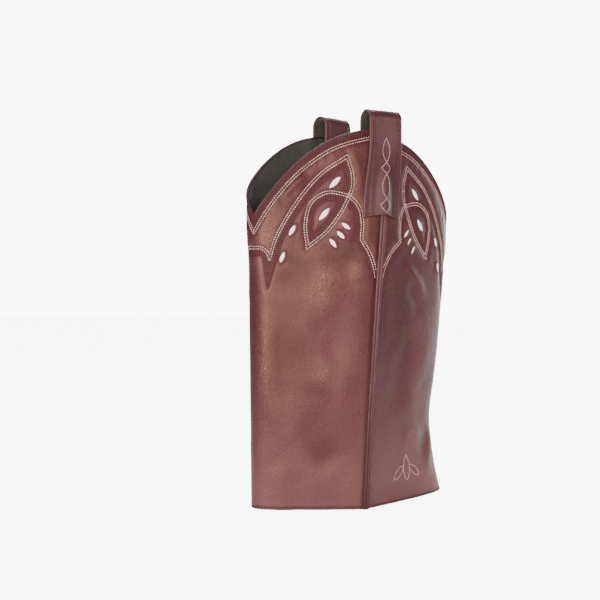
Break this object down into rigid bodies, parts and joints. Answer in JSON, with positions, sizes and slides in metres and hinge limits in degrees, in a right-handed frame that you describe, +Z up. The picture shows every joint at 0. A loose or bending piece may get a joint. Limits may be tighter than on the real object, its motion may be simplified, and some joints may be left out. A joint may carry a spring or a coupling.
{
  "type": "western leg gaiter",
  "caption": "Western leg gaiter: a stitched cowboy boot shaft in burgundy leather with white inlays, scalloped top and pull straps, standing open.",
  "frame": {"origin": "middle of the bounding box at the hem, on the surface that the gaiter stands on", "axes": "+Z up the leg; +X towards the shin (front), -X towards the calf; -Y is the outer side, +Y the inner side"},
  "size_m": [0.1902, 0.1022, 0.328],
  "materials": {
    "shaft_leather": "glossy burgundy grain leather",
    "strap_leather": "semi-gloss burgundy leather",
    "welt_leather": "burgundy piping leather",
    "bead_leather": "cut leather edge, rosy",
    "lining_suede": "matt dark lining",
    "inlay_leather": "matt white leather",
    "thread_cream": "cream sewing thread",
    "thread_red": "cherry red sewing thread"
  },
  "bodies": {
    "root": {"back_panel": "shaft_leather", "front_panel": "shaft_leather", "back_lining": "lining_suede", "front_lining": "lining_suede", "back_rim_bead": "bead_leather", "front_rim_bead": "bead_leather", "outer_welt": "welt_leather", "inner_welt": "welt_leather", "outer_pull_strap": "strap_leather", "inner_pull_strap": "strap_leather", "back_outer_inlay_1": "inlay_leather", "back_outer_inlay_2": "inlay_leather", "back_outer_inlay_3": "inlay_leather", "back_outer_inlay_4": "inlay_leather", "back_outer_inlay_5": "inlay_leather", "back_outer_inlay_6": "inlay_leather", "back_outer_inlay_7": "inlay_leather", "back_inner_inlay_1": "inlay_leather", "back_inner_inlay_2": "inlay_leather", "back_inner_inlay_3": "inlay_leather", "back_inner_inlay_4": "inlay_leather", "back_inner_inlay_5": "inlay_leather", "back_inner_inlay_6": "inlay_leather", "back_inner_inlay_7": "inlay_leather", "front_outer_inlay_1": "inlay_leather", "front_outer_inlay_2": "inlay_leather", "front_outer_inlay_3": "inlay_leather", "front_outer_inlay_4": "inlay_leather", "front_outer_inlay_5": "inlay_leather", "front_outer_inlay_6": "inlay_leather", "front_outer_inlay_7": "inlay_leather", "front_inner_inlay_1": "inlay_leather", "front_inner_inlay_2": "inlay_leather", "front_inner_inlay_3": "inlay_leather", "front_inner_inlay_4": "inlay_leather", "front_inner_inlay_5": "inlay_leather", "front_inner_inlay_6": "inlay_leather", "front_inner_inlay_7": "inlay_leather"}
  },
  "joints": []
}
